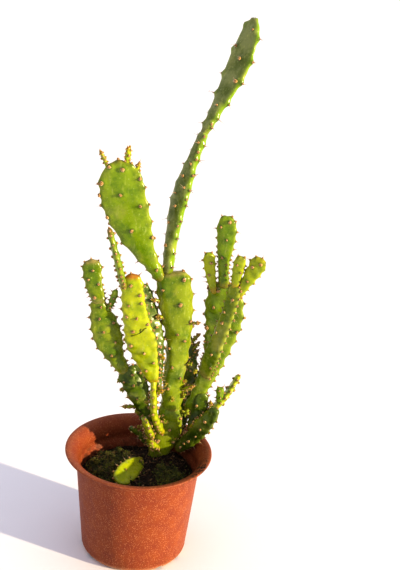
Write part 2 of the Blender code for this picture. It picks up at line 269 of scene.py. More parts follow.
@dataclass(frozen=True)
class CactusSkin(Finish):
    """Waxy epidermis of a living pad: mottled green, with pale breathing pores."""

    name: str
    dark: str
    light: str
    margin: str
    blush: str
    roughness: float = 0.34
    margin_share: float = 0.6

    def paint(self, tree: bpy.types.NodeTree) -> dict:
        """Paints mottling, paler margins, pores, scuffs, the painted shade round each areole and the cork or
        blush of a tip.
        """
        where = add_node(tree, "TexCoord").outputs["Object"]
        # patches about 14 mm across, and finer ones about 3 mm across
        broad, fine = (
            add_node(tree, "TexNoise", inputs={"Vector": where, "Scale": scale,
                                               "Detail": detail}).outputs["Fac"]
            for scale, detail in ((70.0, 4.0), (330.0, 3.0)))
        blend, breakup = (
            add_node(tree, "Math", {"operation": "MULTIPLY_ADD"}, {0: fine, 1: times, 2: plus}).outputs[0]
            for times, plus in ((0.35, -0.17), (1.2, 0.25)))
        summed = add_node(tree, "Math", {"operation": "ADD"}, {0: broad, 1: blend}).outputs[0]
        base = add_node(tree, "ValToRGB", inputs={"Fac": summed},
                        stops=((0.36, linear(self.dark)), (0.6, linear(self.light))))
        rim, areole_shade, tip = (
            add_node(tree, "Math", {"operation": "MULTIPLY", "use_clamp": name == "blush"}, {
                0: add_node(tree, "Attribute", {"attribute_name": name}).outputs["Fac"], 1: share}).outputs[0]
            for name, share in (("edge", self.margin_share), ("spot", 0.55), ("blush", breakup)))
        tall = add_node(tree, "Mapping", inputs={
            "Vector": where, "Scale": (1.0, 1.0, 0.22), "Rotation": (0.0, 0.5, 0.3)}).outputs[0]
        marks = (
            # pores about 4 mm apart, drawn about 1 mm wide where real ones are 0.2 mm
            ("TexVoronoi", {"Scale": 270.0}, ((0.08, grey(0.28)), (0.22, grey(0.0)))),
            # brighter flecks about 6 mm apart
            ("TexVoronoi", {"Scale": 165.0}, ((0.04, grey(0.4)), (0.12, grey(0.0)))),
            # scuffs in patches about 24 mm across
            ("TexNoise", {"Scale": 42.0, "Detail": 6.0, "Distortion": 0.8},
             ((0.56, grey(0.0)), (0.76, grey(0.5)))),
            # thin scratches, drawn about 0.7 mm wide where real ones are hair-fine
            ("TexNoise", {"Vector": tall, "Scale": 420.0, "Detail": 3.0, "Distortion": 0.3},
             ((0.6, grey(0.0)), (0.74, grey(0.32)))))
        masks = [rim]
        for kind, inputs, stops in marks:
            texture = add_node(tree, kind, inputs={"Vector": where, **inputs}).outputs[0]
            masks.append(add_node(tree, "ValToRGB", inputs={"Fac": texture}, stops=stops).outputs["Color"])
        # the dark green #2f4a0a, laid by the spot attribute, is painted shade round each areole
        tints = (self.margin, "#b9c273", "#bfc884", "#a8a455", "#b9bd6c", "#2f4a0a", self.blush)
        colour = base.outputs["Color"]
        for mask, tint in zip([*masks, areole_shade, tip], tints):
            colour = add_node(tree, "Mix", {"data_type": "RGBA"},
                              {0: mask, 6: colour, 7: linear(tint)}).outputs[2]
        gloss = add_node(tree, "MapRange", inputs={
            "Value": fine, "To Min": self.roughness - 0.08, "To Max": self.roughness + 0.14})
        pits = add_node(tree, "Bump", inputs={"Strength": 0.35, "Distance": 0.0004, "Height": masks[1]})
        skin = add_node(tree, "Bump", inputs={
            "Strength": 0.4, "Distance": 0.0012, "Height": summed, "Normal": pits.outputs[0]})
        return {"Base Color": colour, "Roughness": gloss.outputs[0], "Normal": skin.outputs[0],
                "Subsurface Weight": 0.05, "Subsurface Radius": (0.6, 1.0, 0.15), "Subsurface Scale": 0.004,
                "Coat Weight": 0.12, "Coat Roughness": 0.2, "Specular IOR Level": 0.36, "IOR": 1.45}


@dataclass(frozen=True)
class Matted(Finish):
    """A matt natural finish of two or three mixed colours with a rough surface."""

    name: str
    colours: tuple[str, ...]
    grain: float
    bump: float
    roughness: float = 0.95
    sheen: float = 0.0
    distortion: float = 0.4

    def paint(self, tree: bpy.types.NodeTree) -> dict:
        """Paints a noise of the colours, with grain in millimetres."""
        where = add_node(tree, "TexCoord").outputs["Object"]
        speck = add_node(tree, "TexNoise", inputs={
            "Vector": where, "Scale": 1.0 / (self.grain * MM), "Detail": 6.0,
            "Distortion": self.distortion}).outputs["Fac"]
        last = len(self.colours) - 1
        stops = [(0.33 + 0.34 * i / last, linear(c)) for i, c in enumerate(self.colours)]
        ramp = add_node(tree, "ValToRGB", inputs={"Fac": speck}, stops=stops)
        lumps = add_node(tree, "Bump", inputs={
            "Strength": 0.8, "Distance": self.bump * MM, "Height": speck})
        return {"Base Color": ramp.outputs["Color"], "Normal": lumps.outputs[0],
                "Roughness": self.roughness, "Sheen Weight": self.sheen, "Specular IOR Level": 0.3}


@dataclass(frozen=True)
class NurseryPlastic(Finish):
    """Moulded polypropylene with pale filler specks, scuffed and slightly dusty."""

    name: str = "terracotta_polypropylene"

    def paint(self, tree: bpy.types.NodeTree) -> dict:
        """Paints the mottled clay colour, the specks, the soil smears and darkening, the pale base scuffs and
        the painted highlight along the lip.
        """
        where = add_node(tree, "TexCoord").outputs["Object"]
        cloud, sparse, patch = (
            add_node(tree, "TexNoise", inputs={"Vector": where, "Scale": scale,
                                               "Detail": detail}).outputs["Fac"]
            for scale, detail in ((90.0, 5.0), (260.0, 2.0), (180.0, 6.0)))
        # filler specks about 1.2 mm apart, drawn coarser than real ones so that they show
        cells = add_node(tree, "TexVoronoi", inputs={"Vector": where, "Scale": 850.0}).outputs["Distance"]
        colour, specks, chosen, broken = (
            add_node(tree, "ValToRGB", inputs={"Fac": source}, stops=stops).outputs["Color"]
            for source, stops in ((cloud, ((0.3, linear("#7f3b22")), (0.7, linear("#8c4722")))),
                                  (cells, ((0.14, grey(0.9)), (0.4, grey(0.0)))),
                                  (sparse, ((0.34, grey(0.0)), (0.52, grey(1.0)))),
                                  (patch, ((0.46, grey(0.0)), (0.62, grey(1.0))))))
        smear_and_darkening, scuff_and_lip_highlight = (add_node(tree, "Attribute", {"attribute_name": name}).outputs["Fac"]
                      for name in ("smear_and_darkening", "scuff_and_lip_highlight"))
        # 2a1a12 is the soil smear and a darkening inside and towards the base; #d09a70 is the pale base
        # scuffs and a painted highlight along the lip
        for mask, share, tint in ((specks, chosen, "#b87c54"), (smear_and_darkening, broken, "#2a1a12"),
                                  (scuff_and_lip_highlight, patch, "#d09a70")):
            amount = add_node(tree, "Math", {"operation": "MULTIPLY"}, {0: mask, 1: share}).outputs[0]
            colour = add_node(tree, "Mix", {"data_type": "RGBA"},
                              {0: amount, 6: colour, 7: linear(tint)}).outputs[2]
        gloss = add_node(tree, "MapRange", inputs={"Value": patch, "To Min": 0.38, "To Max": 0.62})
        grain = add_node(tree, "Bump", inputs={"Strength": 0.25, "Distance": 0.0004, "Height": specks})
        waves = add_node(tree, "Bump", inputs={
            "Strength": 0.3, "Distance": 0.002, "Height": cloud, "Normal": grain.outputs[0]})
        return {"Base Color": colour, "Roughness": gloss.outputs[0], "Normal": waves.outputs[0],
                "IOR": 1.49, "Specular IOR Level": 0.25}


class Skin(Enum):
    """The greens of the pads, by age and light, each with the record's slot."""

    # tender growth, yellow-green and a little translucent, with a rusty tip
    BRIGHT = CactusSkin("young_pad_epidermis", "#879706", "#a4ac10", "#aeae22", "#a34d22", 0.26)
    # firm stem skin, mid green, corky where it is old
    FRESH = CactusSkin("stem_epidermis", "#587007", "#7f8d12", "#989828", "#a58a5c", 0.24)
    # a grown pad's waxy green, paler along its thin margin
    LEAF = CactusSkin("pad_epidermis", "#617d08", "#7f9510", "#949828", "#965a34", 0.24)
    # dark green of pads that the others shade
    DEEP = CactusSkin("shaded_pad_epidermis", "#2f4504", "#55690e", "#6c761e", "#7a5a34", 0.3)
    # a grey-olive wax bloom, its pale grey partly painted sky reflection, with a glossy green margin
    DULL = CactusSkin("tall_pad_epidermis", "#5f6b22", "#868c50", "#7c980c", "#6a5a30", 0.2, 0.95)

    @property
    def slot(self) -> str:
        """The record's material slot of this green."""
        return "skin_" + self.name.lower()


# tan felt, soft at its edge
WOOL = Matted("areole_wool", ("#5f3f1e", "#a8824e", "#d6b680"), 0.9, 0.25, sheen=0.3)
# golden brown hairs, which make the wool look bristly
BRISTLE = Matted("glochid_bristle", ("#a8743f", "#d9b07a"), 1.2, 0.02, 0.7)
# pale horn that catches the light against the green
SPINE = Matted("spine_horn", ("#8d7258", "#c8b398"), 3.0, 0.02, 0.5)
# fleshy green that browns towards its tip
SCALE_LEAF = Matted("bud_scale", ("#62780e", "#8c9418", "#9a6a24"), 2.2, 0.1, 0.5)
# near black, wet and crumbly
PEAT = Matted("moist_peat", ("#0d0805", "#20140b", "#3a281a"), 2.2, 1.5)
# loose lumps, a shade drier and paler than the peat
CRUMB = Matted("peat_crumb", ("#120b07", "#2c1c10", "#4a3420"), 3.5, 0.6)
# dry woody brown that stands out from the soil
BARK = Matted("bark_chip", ("#4a3420", "#7a5a3c", "#a68a66"), 2.5, 0.4)
# straw-coloured threads
FIBRE = Matted("peat_fibre", ("#3a2816", "#75593a", "#9a7c54"), 4.0, 0.1)
# olive, velvety and uneven
MOSS = Matted("cushion_moss", ("#262b0a", "#565c14", "#96942e"), 6.0, 0.3, 0.9, 0.1)
# shrivelled red-brown leaf
HUSK = Matted("dried_husk", ("#5c3a22", "#96683c", "#c0986a"), 1.8, 0.3)
# dark cork line in the skin
CRACK = Matted("healed_crack", ("#2e3a10", "#4a4a1c"), 1.0, 0.1)
# off-white, even, without shine
PAPER = Matted("pale_tabletop", ("#ebe9eb", "#edebed"), 60.0, 0.0, 0.8, 0.0, 0.0)


# ---------------------------------------------------------------- the plant


# Cross-section of a pad: 1 is an ellipse, smaller is squarer
SECTION_POWER = 0.8
# Share of a pad's thickness lost from its base to its tip
THINNING = 0.25
# How deep, in the height of its tooth, an areole sits in the skin
SEATING = 0.55
# Furthest that a pad's surface is looked for from an areole, and how deep counts as buried
SEARCH, BURIED_DEPTH = 16.0, 14.0


def curve_point(values: list, at: float) -> Vector | float:
    """Reads a smooth curve through evenly spaced values.

    Args:
        values: numbers or vectors at even steps.
        at: the place on the curve, 0 to 1.

    Returns:
        The value there.
    """
    last = len(values) - 1
    place = min(max(at, 0.0), 1.0) * last
    start = min(int(place), last - 1)
    t = place - start
    before = values[start - 1] if start > 0 else values[0] * 2 - values[1]
    after = values[start + 2] if start + 2 <= last else values[last] * 2 - values[last - 1]
    a, b = values[start], values[start + 1]
    bend = (b - before) * t + (before * 2 - a * 5 + b * 4 - after) * t * t
    return a + (bend + (a * 3 - before - b * 3 + after) * t ** 3) * 0.5


@dataclass
class Areole:
    """One woolly cushion that bears bristles and spines."""

    at: Vector
    out: Vector
    along: Vector
    size: float
    margin: float
    lift: float
    spines: int = 0
    hairy: bool = False
    sunk: float = 0.0


@dataclass
class Pad:
    """One stem segment: a flattened body along a curved middle line, in millimetres.

    path runs from the buried base to the tip, widths are full widths at even steps,
    face is the bearing of the wide direction in degrees, crown is the length over
    which the tip rounds off. crowd is the share of the length, from the base, with
    crowded areoles, and tooth is how far the margin's areoles stand out.
    """

    name: str
    path: tuple
    widths: tuple
    thick: float
    face: float
    crown: float
    skin: Skin = Skin.LEAF
    step: float = 10.0
    crowd: float = 0.25
    tooth: float = 1.2
    blush: float = 0.0
    spots: tuple = ()
    knob: float = 0.8
    tilt: float = 0.0
    hairs: int = 0
    swell: float = 8.5
    middle: list = field(init=False)
    breadth: list = field(init=False)
    length: float = field(init=False)

    def __post_init__(self) -> None:
        """Works out the middle line, the widths and the length."""
        self.middle = [Vector(point) for point in self.path]
        self.breadth = [float(width) for width in self.widths]
        self.length = sum((b - a).length for a, b in zip(self.middle, self.middle[1:]))

    def drawn(self, at: float) -> float:
        """Gives how far the outline is drawn in near the two ends, 0 to 1."""
        from_base, from_tip = at * self.length, (1.0 - at) * self.length
        base_cap = self.breadth[0] / 2.0
        amount = 1.0
        if from_base < base_cap:
            amount *= math.sqrt(max(0.0, 1.0 - (1.0 - from_base / base_cap) ** 2))
        if from_tip < self.crown:
            amount *= math.sqrt(max(0.0, 1.0 - (1.0 - from_tip / self.crown) ** 2))
        return amount

    def axes(self, at: float) -> tuple[Vector, Vector, Vector]:
        """Gives the directions along, across and through the pad at a place."""
        level = Vector((math.cos(math.radians(self.face)), math.sin(math.radians(self.face)), 0.0))
        along = (curve_point(self.middle, at + 0.01) - curve_point(self.middle, at - 0.01)).normalized()
        across = (level - along * level.dot(along)).normalized()
        turned = Matrix.Rotation(math.radians(self.tilt), 3, along)
        across = turned @ across
        return along, across, along.cross(across)

    def surface(self, at: float, turn: float) -> Vector:
        """Gives the point of the plain surface at a place and a turn in radians."""
        _, across, through = self.axes(at)
        drawn = self.drawn(at)
        half_width = curve_point(self.breadth, at) / 2.0 * drawn
        half_thick = min(self.thick / 2.0 * (1.0 - THINNING * at) * math.sqrt(drawn), half_width)
        x, y = math.cos(turn), math.sin(turn)
        side = math.copysign(abs(x) ** SECTION_POWER, x) * half_width
        front = math.copysign(abs(y) ** SECTION_POWER, y) * half_thick
        return curve_point(self.middle, at) + across * side + through * front

    def outward(self, at: float, turn: float) -> Vector:
        """Gives the outward direction of the surface at a place and a turn."""
        low, high = max(at - 0.008, 0.0), min(at + 0.008, 1.0)
        up = self.surface(high, turn) - self.surface(low, turn)
        round_ = self.surface(at, turn + 0.05) - self.surface(at, turn - 0.05)
        out = round_.cross(up)
        if out.length < 1e-9:
            return self.axes(at)[0]
        return out.normalized()

    def stations(self, rng: random.Random) -> list[float]:
        """Lists the places along one margin, closer together where they crowd."""
        places, run = [], self.step * rng.uniform(0.3, 0.6)
        while run < self.length - self.crown * 0.45:
            places.append(run / self.length)
            close = smooth(self.crowd + 0.12, self.crowd - 0.04, run / self.length)
            run += self.step * (1.0 - 0.5 * close) * rng.uniform(0.85, 1.15)
        return places

    def areoles(self, rng: random.Random) -> list[Areole]:
        """Lays out the areoles: along both margins, round the crown and over both faces.

        Args:
            rng: the source of the natural unevenness.

        Returns:
            The areoles in millimetres.
        """
        found = []
        for margin in (0.0, math.pi):
            for at in self.stations(rng):
                turn = margin + math.radians(rng.uniform(-9.0, 9.0))
                found.append(self.areole(at, turn, 1.0, rng))
        crown = max(1, int(self.breadth[-1] / (self.step * 0.55)))
        for i in range(crown):
            share = (i + 0.5) / crown
            found.append(self.areole(1.0 - 0.03 * abs(share - 0.5), math.pi * share, 0.8, rng))
            tip = found[-1]
            spread = self.axes(0.98)[1] * (math.cos(math.pi * share) * self.breadth[-1] * 0.36)
            tip.at = curve_point(self.middle, 1.0) + spread - self.axes(0.98)[0] * (
                self.crown * (1.0 - math.sqrt(max(0.0, 1.0 - (0.72 * math.cos(math.pi * share)) ** 2))))
            tip.out = (self.axes(0.98)[0] + spread * (0.9 / max(self.breadth[-1] * 0.36, 1.0))).normalized()
        marked = {math.copysign(1.0, math.sin(math.radians(turn))) for _, turn in self.spots}
        for at, turn in self.spots:
            found.append(self.areole(at, math.radians(turn), 0.0, rng))
        for face in (1.0, -1.0):
            if face not in marked:
                found.extend(self.face_areoles(face, rng))
        return found

    def face_areoles(self, face: float, rng: random.Random) -> list[Areole]:
        """Lays out a face's areoles on a slanting grid, fewer where the pad is narrow."""
        found, run, odd = [], self.step * 1.1, False
        while run < self.length - self.crown * 0.7:
            at = run / self.length
            width = curve_point(self.breadth, at)
            columns = max(1, round(width / (self.step * 1.15)))
            if odd and columns > 1:
                columns -= 1
            for i in range(columns):
                shift = ((i + 0.5) / columns * 2.0 - 1.0) * 0.62 if columns > 1 else rng.uniform(-0.3, 0.3)
                turn = math.acos(max(-1.0, min(1.0, shift))) * face
                found.append(self.areole(at + rng.uniform(-0.02, 0.02), turn, 0.0, rng))
            odd = not odd
            close = smooth(self.crowd + 0.12, self.crowd - 0.04, at)
            run += self.step * 1.25 * (1.0 - 0.45 * close) * rng.uniform(0.9, 1.1)
        return found

    def areole(self, at: float, turn: float, margin: float, rng: random.Random) -> Areole:
        """Makes one areole at a place and a turn."""
        width = curve_point(self.breadth, at)
        lift = (self.tooth if margin else self.tooth * self.knob) * min(1.0, width / 12.0 + 0.25)
        size = rng.uniform(0.85, 1.15) * (1.25 if width > 24.0 else 0.95 if width > 9.0 else 0.75)
        spines = (rng.choice((0, 1, 1, 2)) if margin else rng.choice((0, 0, 0, 1))) + self.hairs
        return Areole(self.surface(at, turn), self.outward(at, turn), self.axes(at)[0],
                      size, margin, lift, spines, self.hairs > 0, SEATING * self.tooth)

    def body(self) -> bmesh.types.BMesh:
        """Shapes a sphere into the plain pad, with the attributes its finish reads."""
        around = 2.0 * max(self.breadth) + self.thick
        sides = int(min(max(around / 1.25, 16), 64))
        rings = int(min(max(self.length / 1.05, 14), 120))
        bm = bmesh.new()
        bmesh.ops.create_uvsphere(bm, u_segments=sides, v_segments=rings, radius=1.0)
        edge, along = bm.verts.layers.float.new("edge"), bm.verts.layers.float.new("along")
        for vert in bm.verts:
            x, y, z = vert.co
            # rings even enough along the pad, and close together at its round ends
            at = 0.55 * math.acos(max(-1.0, min(1.0, -z))) / math.pi + 0.45 * (z + 1.0) / 2.0
            turn = math.atan2(y, x)
            whole = math.hypot(x, y) > 1e-6
            vert[edge] = abs(math.cos(turn)) ** 5 if whole else 0.5
            vert[along] = at
            vert.co = self.surface(at, turn) if whole else curve_point(self.middle, at)
        bm.normal_update()
        return bm

    def rise(self, distance: float, reach: float) -> float:
        """Gives a tubercle's rise, a point on a broad swelling, at a distance from its areole."""
        point = (1.0 - distance / reach) ** 1.7 if distance < reach else 0.0
        return point * 0.8 + 0.9 * (1.0 - (distance / self.swell) ** 2) ** 2

    def carve(self, bm: bmesh.types.BMesh, areoles: list[Areole]) -> None:
        """Raises the tubercles under the areoles, lets the skin undulate and writes the painted shade round
        each areole and the blush.
        """
        tree = kdtree.KDTree(max(len(areoles), 1))
        for index, areole in enumerate(areoles):
            tree.insert(areole.at, index)
        tree.balance()
        spot, blush = bm.verts.layers.float.new("spot"), bm.verts.layers.float.new("blush")
        along = bm.verts.layers.float["along"]
        reach = min(6.5, self.step * 0.62)
        moves = []
        for vert in bm.verts:
            where = vert.co
            lift = 0.5 * noise.noise(where * 0.06) + 0.18 * noise.noise(where * 0.2)
            lift *= min(1.0, self.thick / 9.0)
            nearest, raised = 99.0, 0.0
            for _, index, distance in tree.find_range(where, self.swell) if areoles else ():
                areole = areoles[index]
                raised = max(raised, areole.lift * self.rise(distance, reach))
                nearest = min(nearest, distance / areole.size)
            lift += raised
            # spot: how near an areole lies, for the painted shade round it
            vert[spot] = 1.0 - smooth(1.2, 2.6, nearest)
            tip = smooth(1.0 - 5.0 / self.length, 1.0, vert[along])
            scar = 0.4 * smooth(10.0, 4.0, vert[along] * self.length) if self.length > 24.0 else 0.0
            vert[blush] = max(tip * self.blush, scar)
            moves.append(vert.normal * (lift - SEATING * self.tooth))
        for vert, move in zip(bm.verts, moves):
            vert.co += move


B, F, L, D, G = Skin.BRIGHT, Skin.FRESH, Skin.LEAF, Skin.DEEP, Skin.DULL

PADS = (
    Pad("lower_trunk", ((14, 28, 64), (20, 31, 87), (26, 30, 110), (26, 30, 133)),
        (12, 19, 27, 23, 19), 20, 180, 9, F, 15, 0.0, 0.6,
        spots=((0.65, 92), (0.45, 70), (0.5, 120), (0.8, 140), (0.85, 60)), knob=1.2),
    Pad("upper_trunk", ((27, 30, 122), (27, 30, 157), (29, 30, 192), (25, 28, 226), (19, 28, 260)),
        (18, 19, 20, 24, 30, 29), 17, 182, 8, F, 14, 0.0, 0.9, 0.6,
        ((0.9, 56), (0.95, 124), (0.79, 100), (0.67, 140), (0.59, 88), (0.48, 48), (0.54, 112),
         (0.35, 76), (0.28, 116), (0.2, 68)), 1.1, swell=6.5),
    Pad("crown_left_pad", ((12, 27, 250), (-9, 24, 284), (-24, 19, 321), (-31, 15, 359)),
        (8, 15, 28, 37, 37, 32), 9, 176, 20, L, 17, 0.1, 0.9, 0.3,
        ((0.94, 100), (0.75, 88), (0.64, 128), (0.47, 88), (0.37, 156), (0.12, 108), (0.84, 32),
         (0.75, 4), (0.6, 28), (0.96, 48), (0.86, 152)), swell=6.5),
    Pad("tall_lower_pad", ((15, 29, 255), (17, 36, 286), (21, 43, 318), (29, 51, 348), (39, 59, 377)),
        (10, 11, 16, 18, 11, 9), 11, 131, 5, G, 15, 0.0, 0.9, 0.0,
        ((0.67, 92), (0.55, 84), (0.47, 100), (0.36, 84), (0.21, 88), (0.35, 156), (0.53, 170),
         (0.6, 124), (0.69, 168), (0.76, 120), (0.8, 160), (0.85, 152), (0.91, 116), (0.96, 150)),
        0.8, 0.0, 1, 5.0),
    Pad("tall_upper_pad", ((37, 58, 372), (48, 65, 395), (59, 73, 419), (68, 81, 444), (75, 88, 469)),
        (7, 12, 21, 27, 24, 15), 9, 129, 12, G, 21, 0.16, 1.3, 0.3,
        ((0.66, 100), (0.75, 64), (0.9, 120), (0.49, 132), (0.27, 108), (0.12, 160)), 0.8, 0.0, 1, 5.0),
    Pad("shaded_left_pad", ((13, 32, 102), (2, 33, 121), (-6, 33, 142), (-16, 34, 162)),
        (7, 12, 18, 19), 9, 11, 6, D, 9, spots=((0.89, 280), (0.75, 268), (0.85, 228), (0.55, 260))),
    Pad("shaded_side_pad", ((2, 35, 130), (-3, 36, 148), (-6, 36, 165)), (9, 13, 14), 8, 0, 8, D, 9),
    Pad("left_lower_pad", ((-15, 34, 155), (-28, 35, 177), (-37, 36, 202), (-44, 38, 227)),
        (7, 14, 24, 21, 11), 11, 5, 5, F, 9.5, 0.1, 1.3, 0.0,
        ((0.61, 264), (0.77, 260), (0.68, 312), (0.46, 292), (0.32, 260), (0.9, 275))),
    Pad("left_upper_pad", ((-41, 37, 220), (-48, 38, 240), (-51, 40, 261)), (10, 12, 15, 17),
        9, 5, 9, F, 8.5, 0.35, 1.1, 0.7, ((0.8, 272), (0.62, 244), (0.49, 300), (0.24, 252))),
    Pad("left_side_pad", ((-35, 36, 215), (-31, 35, 226), (-28, 34, 237)), (3, 5, 5), 5, 170, 3, L, 5),
    Pad("front_stem_pad", ((20, 26, 104), (12, 15, 126), (10, 10, 148), (9, 7, 169)),
        (11, 15, 16, 12), 7, 93, 5, B, 9),
    Pad("front_bright_pad", ((10, 7, 163), (-1, -2, 198), (-10, -10, 234), (-15, -15, 272)),
        (6, 17, 25, 21, 18, 18), 10, 179, 9, B, 9.5, 0.08, 1.2, 0.95,
        ((0.93, 88), (0.77, 72), (0.78, 132), (0.68, 56), (0.66, 96), (0.55, 76), (0.42, 52),
         (0.34, 92), (0.23, 124), (0.17, 80), (0.59, 146), (0.85, 128))),
    Pad("front_back_pad", ((14, 12, 152), (11, 19, 182), (3, 24, 212), (-6, 27, 246)),
        (5, 8, 17, 18, 12), 8, 23, 8, D, 7),
    Pad("slender_top_pad", ((-20, -14, 259), (-27, -18, 286), (-34, -22, 312)),
        (8, 13, 13, 9), 6, 98, 6, L, 7.5, 0.2, 1.0, 0.6),
    Pad("rear_stem_pad", ((33, 38, 96), (39, 45, 130), (40, 47, 160), (36, 49, 191)),
        (11, 17, 16, 12), 9, 168, 8, D, 9),
    Pad("right_broad_pad", ((42, 40, 116), (58, 38, 160), (67, 36, 205), (66, 32, 251)),
        (11, 12, 18, 26, 34, 26), 10, 166, 11, L, 12, 0.3, 1.3, 0.0,
        ((0.83, 64), (0.95, 72), (0.66, 30), (0.55, 20), (0.68, 150), (0.4, 90))),
    Pad("right_top_pad", ((65, 32, 245), (63, 31, 268), (63, 29, 290), (62, 28, 313)),
        (9, 8, 9, 13, 16, 15), 9, 168, 9, L, 9.5, 0.5, 1.0, 0.0,
        ((0.94, 112), (0.87, 64), (0.71, 96), (0.36, 120), (0.46, 80), (0.24, 160), (0.21, 116))),
    Pad("right_narrow_pad", ((54, 35, 157), (61, 25, 190), (69, 20, 223), (74, 16, 255)),
        (11, 14, 12, 11, 11), 8, 143, 6, F, 8, 0.2, 1.2, 0.0,
        ((0.88, 108), (0.73, 76), (0.62, 88), (0.51, 72), (0.3, 96), (0.17, 128))),
    Pad("right_tip_pad_inner", ((57, 31, 240), (52, 29, 260), (49, 28, 279)),
        (4, 7, 9, 9), 7, 177, 6, B, 8, 0.3, 0.9, 0.0, ((0.78, 108), (0.5, 80))),
    Pad("right_tip_pad_middle", ((73, 17, 250), (74, 15, 267), (76, 13, 283)),
        (4, 7, 9, 9), 6, 167, 5, B, 7, 0.3, 0.9, 0.1, ((0.77, 76), (0.58, 124))),
    Pad("right_tip_pad_outer", ((76, 18, 242), (84, 14, 263), (93, 10, 283)),
        (4, 8, 12, 15), 7, 160, 8, B, 9, 0.2, 1.0, 0.15, ((0.78, 72), (0.48, 92), (0.92, 104))),
    Pad("low_dark_pad", ((34, 27, 86), (47, 18, 103), (56, 8, 122), (66, 2, 142)),
        (8, 12, 13, 9), 8, 149, 6, D, 9),
    Pad("low_back_pad", ((48, 31, 100), (52, 35, 122), (54, 36, 141)), (9, 13, 14, 12), 8, 174, 7, D, 9),
    Pad("low_bright_pad", ((45, 26, 108), (61, 32, 122), (76, 40, 137), (87, 49, 153)),
        (11, 12, 13, 9), 6, 82, 5, B, 6.5, 0.4),
    Pad("low_side_pad", ((70, 33, 131), (70, 34, 140), (70, 34, 148)), (4, 6, 7), 5, 175, 4, L, 6),
    Pad("ground_pad", ((5, 22, 73), (-2, 8, 78), (-9, -8, 80), (-17, -24, 79)),
        (9, 15, 18, 14), 7, 152, 7, B, 7, 0.1, 1.0, 0.0,
        ((0.71, 280), (0.88, 164), (0.46, 200), (0.2, 270)), 0.5, -30.0),
    Pad("knobbly_lower_pad", ((18, 28, 85), (11, 19, 95), (8, 14, 106)), (8, 10, 9), 7, 110, 4, B, 5.5),
    Pad("knobbly_upper_pad", ((11, 17, 101), (7, 13, 113), (3, 11, 125)), (8, 12, 9), 7, 109, 4, B, 5.5),
    Pad("upper_finger", ((9, 25, 99), (-1, 20, 104), (-9, 16, 112)), (5, 6, 5), 5, 160, 2.5, D, 6),
    Pad("lower_finger", ((10, 26, 89), (4, 22, 96), (-1, 19, 103)), (5, 5, 4), 5, 160, 2.5, D, 6),
)

# Young buds: name, base, tip, width
BUDS = (
    ("crown_bud_left", (-38, 18, 349), (-46, 15, 366), 4.5),
    ("crown_bud_middle", (-24, 16, 352), (-23, 15, 371), 5.5),
    ("crown_bud_right", (-16, 17, 347), (-14, 16, 358), 4.0),
    ("trunk_bud_left", (12, 27, 232), (3, 22, 235), 4.0),
    ("trunk_bud_lower", (16, 28, 217), (8, 22, 219), 4.5),
    ("trunk_bud_right", (37, 25, 213), (46, 22, 216), 3.5),
    ("rear_bud_upper", (38, 49, 181), (48, 44, 195), 4.5),
    ("rear_bud_lower", (41, 48, 173), (48, 44, 187), 4.5),
    ("dried_bud", (42, 46, 164), (47, 42, 180), 5.0),
    ("toothed_bud", (33, 30, 144), (45, 21, 154), 6.0),
    ("shaded_bud", (-3, 33, 124), (-17, 28, 126), 4.0),
    ("stem_bud_lower", (12, 11, 151), (18, 6, 156), 6.0),
    ("stem_bud_upper", (9, 18, 186), (17, 8, 186), 4.5),
    ("low_bud", (63, 33, 124), (62, 31, 135), 3.5),
)


# Clusters of stunted buds on the stems: place and size
KNOBS = (
    ((40.0, 26.0, 174.0), 2.6), ((45.0, 28.0, 166.0), 3.0), ((37.0, 26.0, 143.0), 3.2),
    ((40.0, 25.0, 125.0), 3.4), ((26.0, 21.0, 140.0), 2.2), ((20.0, 20.0, 155.0), 2.4),
    ((5.0, 12.0, 140.0), 2.6), ((-22.0, 32.0, 150.0), 2.0), ((-18.0, 32.0, 141.0), 2.2),
    ((-12.0, 31.0, 136.0), 2.2), ((-4.0, 27.0, 122.0), 2.6), ((10.0, 12.0, 98.0), 2.8),
    ((22.0, 18.0, 119.0), 2.0), ((37.0, 28.0, 155.0), 2.6), ((31.0, 24.0, 98.0), 2.4),
    ((0.0, 24.0, 108.0), 2.4),
)


def bud_pad(name: str, base: tuple, tip: tuple, width: float) -> Pad:
    """Describes a bud as a small, almost round pad with a pointed foot."""
    a, b = Vector(base), Vector(tip)
    bearing = math.degrees(math.atan2(b.y - a.y, b.x - a.x)) + 90.0
    return Pad(name, (tuple(a), tuple(a.lerp(b, 0.5)), tuple(b)),
               (width * 0.6, width, width * 0.8), width * 0.8, bearing, width * 0.5,
               Skin.BRIGHT if name != "dried_bud" else Skin.DEEP, 3.4, 0.0, 0.3, 0.6)


